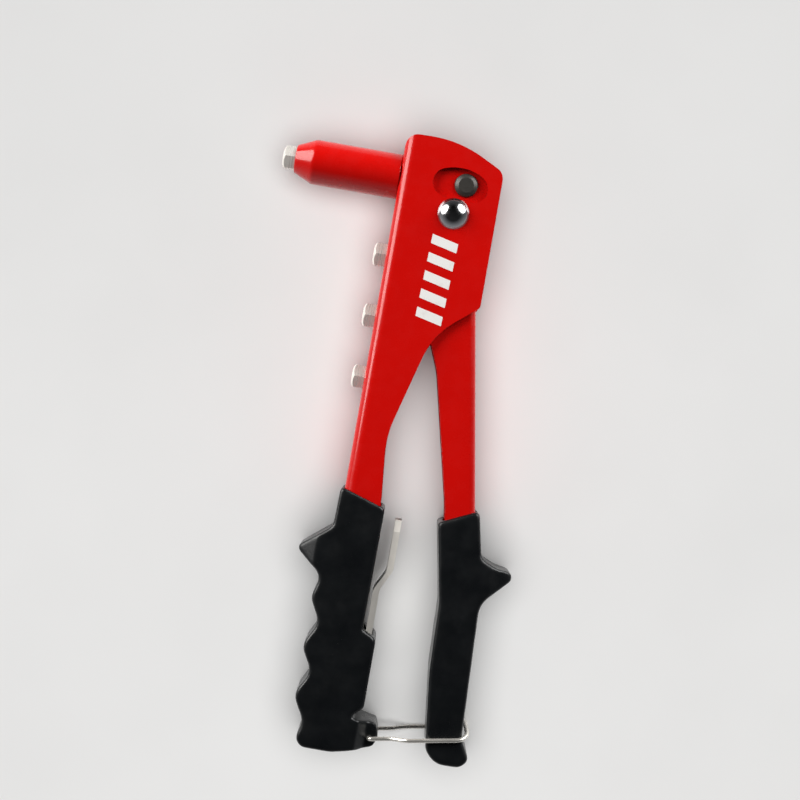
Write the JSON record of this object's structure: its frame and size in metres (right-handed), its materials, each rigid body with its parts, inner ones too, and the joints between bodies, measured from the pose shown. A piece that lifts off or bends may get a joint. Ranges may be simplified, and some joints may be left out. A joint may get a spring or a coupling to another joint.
{
  "type": "hand riveter",
  "caption": "Plier-type hand riveter: folded steel head and lever, nose barrel with gripping jaws, moulded grips, wire bail latch, stored nosepieces and wrench.",
  "frame": {"origin": "centre of the mouth of the fitted nosepiece's bore", "axes": "-X out of the nose, +Y from the handles up to the head, +Z square to the side plates; the tool lies on its side with the handles latched shut"},
  "size_m": [0.1279, 0.2652, 0.0304],
  "materials": {
    "red_paint": "gloss enamel on folded steel sheet",
    "nose_finish": "gloss enamel on a turned steel barrel",
    "nickel": "bright nickel plate",
    "dark_chrome": "black chrome plate",
    "blackened_steel": "blackened steel",
    "inner_steel": "plain machined steel, greased",
    "hard_steel": "hardened steel",
    "spring_steel": "spring steel wire",
    "black_vinyl": "moulded vinyl with a fine grain"
  },
  "bodies": {
    "frame": {"body_frame": "red_paint", "nose_barrel": "nose_finish", "barrel_locknut": "inner_steel", "nosepiece_fitted": "nickel", "nosepiece_spare_small": "nickel", "nosepiece_spare_medium": "nickel", "nosepiece_spare_large": "nickel", "pivot_rivet": "dark_chrome", "pivot_bush": "inner_steel", "fixed_grip": "black_vinyl"},
    "lever": {"lever": "red_paint", "lever_grip": "black_vinyl", "drive_pin": "blackened_steel"},
    "puller": {"pull_head": "inner_steel", "jaw_case": "inner_steel", "jaw_case_locknut": "inner_steel", "return_spring": "spring_steel"},
    "jaw_upper": {"jaw_upper": "hard_steel"},
    "jaw_lower": {"jaw_lower": "hard_steel"},
    "pusher": {"jaw_pusher": "inner_steel", "jaw_spring": "spring_steel"},
    "latch": {"latch_bail": "nickel"},
    "wrench": {"nosepiece_wrench": "nickel"}
  },
  "joints": [
    {"name": "lever_squeeze", "type": "hinge", "parent": "frame", "child": "lever", "pos_m": [0.0764, -0.013, 0], "axis": [0, 0, -1], "range_deg": [-38, 1.5]},
    {"name": "puller_slide", "type": "slide", "parent": "frame", "child": "puller", "axis": [1, 0, 0], "range_m": [-0.0088, 0.0004], "deforming": ["return_spring"]},
    {"name": "jaw_upper_slide", "type": "slide", "parent": "puller", "child": "jaw_upper", "axis": [0.9781, 0.2079, 0], "range_m": [-0.0001, 0.0025]},
    {"name": "jaw_lower_slide", "type": "slide", "parent": "puller", "child": "jaw_lower", "axis": [0.9781, -0.2079, 0], "range_m": [-0.0001, 0.0025]},
    {"name": "pusher_slide", "type": "slide", "parent": "puller", "child": "pusher", "axis": [1, 0, 0], "range_m": [-0.0001, 0.00245], "deforming": ["jaw_spring"]},
    {"name": "latch_swing", "type": "hinge", "parent": "frame", "child": "latch", "pos_m": [0.0795, -0.2393, 0], "axis": [0, 0, 1], "range_deg": [-110, 0], "deforming": ["latch_bail"]},
    {"name": "wrench_slide", "type": "slide", "parent": "frame", "child": "wrench", "axis": [0, 1, 0], "range_m": [0, 0.03]}
  ],
  "couplings": [
    {"joint": "puller_slide", "follows": "lever_squeeze", "m_per_rad": 0.0132},
    {"joint": "jaw_upper_slide", "follows": "lever_squeeze", "m_per_rad": -0.0037},
    {"joint": "jaw_lower_slide", "follows": "lever_squeeze", "m_per_rad": -0.0037},
    {"joint": "pusher_slide", "follows": "lever_squeeze", "m_per_rad": -0.003619}
  ]
}
